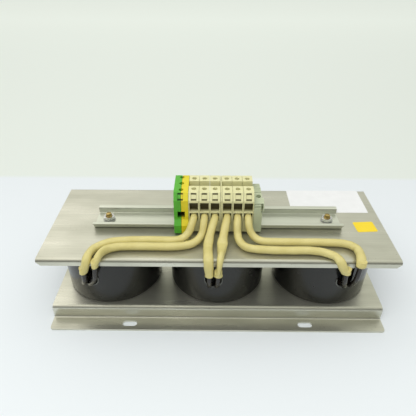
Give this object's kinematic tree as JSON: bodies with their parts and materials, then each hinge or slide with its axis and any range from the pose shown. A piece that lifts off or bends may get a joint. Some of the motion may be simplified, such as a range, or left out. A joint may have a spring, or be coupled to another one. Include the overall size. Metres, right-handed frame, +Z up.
{
  "type": "line reactor",
  "caption": "Three-phase line reactor: ring chokes potted in round cups between two folded plates, with a rail of terminals and sleeved leads on top.",
  "frame": {"origin": "centre of the footprint on the surface it stands on, under the base plate's flanges", "axes": "+X along the row of cups with the earth terminal at -X, -Y towards the side with the leads, +Z up"},
  "size_m": [0.34, 0.145, 0.1314],
  "materials": {
    "galvanised_steel": "satin zinc-plated sheet, light straw tint, fine grain along the length",
    "black_plastic": "glossy black moulding",
    "potting_resin": "dark cast resin",
    "core_iron": "coated powder-iron ring",
    "enamelled_copper": "enamelled copper wire",
    "yellow_zinc": "yellow passivated zinc",
    "bright_zinc": "bright zinc plate",
    "beige_plastic": "satin moulding",
    "green_plastic": "satin moulding",
    "yellow_plastic": "satin moulding",
    "grey_plastic": "satin moulding",
    "cream_sleeve": "woven insulating sleeve"
  },
  "bodies": {
    "root": {"base_plate": "galvanised_steel", "bracket_screw": "bright_zinc", "centre_bolt_left": "yellow_zinc", "centre_bolt_middle": "yellow_zinc", "centre_bolt_right": "yellow_zinc", "clamp_screw_back_1": "bright_zinc", "clamp_screw_back_2": "bright_zinc", "clamp_screw_back_3": "bright_zinc", "clamp_screw_back_4": "bright_zinc", "clamp_screw_back_5": "bright_zinc", "clamp_screw_back_6": "bright_zinc", "clamp_screw_front_1": "bright_zinc", "clamp_screw_front_2": "bright_zinc", "clamp_screw_front_3": "bright_zinc", "clamp_screw_front_4": "bright_zinc", "clamp_screw_front_5": "bright_zinc", "clamp_screw_front_6": "bright_zinc", "core_left": "core_iron", "core_middle": "core_iron", "core_right": "core_iron", "cup_left": "black_plastic", "cup_middle": "black_plastic", "cup_right": "black_plastic", "current_bar_1": "bright_zinc", "current_bar_2": "bright_zinc", "current_bar_3": "bright_zinc", "current_bar_4": "bright_zinc", "current_bar_5": "bright_zinc", "current_bar_6": "bright_zinc", "din_rail": "galvanised_steel", "earth_clamp": "bright_zinc", "earth_shell_green": "green_plastic", "earth_shell_yellow": "yellow_plastic", "end_bracket": "grey_plastic", "lead_1": "cream_sleeve", "lead_2": "cream_sleeve", "lead_3": "cream_sleeve", "lead_4": "cream_sleeve", "lead_5": "cream_sleeve", "lead_6": "cream_sleeve", "nut_left": "bright_zinc", "nut_middle": "bright_zinc", "nut_right": "bright_zinc", "partition_plate": "beige_plastic", "potting_left": "potting_resin", "potting_middle": "potting_resin", "potting_right": "potting_resin", "terminal_1": "beige_plastic", "terminal_2": "beige_plastic", "terminal_3": "beige_plastic", "terminal_4": "beige_plastic", "terminal_5": "beige_plastic", "terminal_6": "beige_plastic", "top_plate": "galvanised_steel", "washer_left": "bright_zinc", "washer_right": "bright_zinc", "winding_left": "enamelled_copper", "winding_middle": "enamelled_copper", "winding_right": "enamelled_copper"}
  },
  "joints": []
}
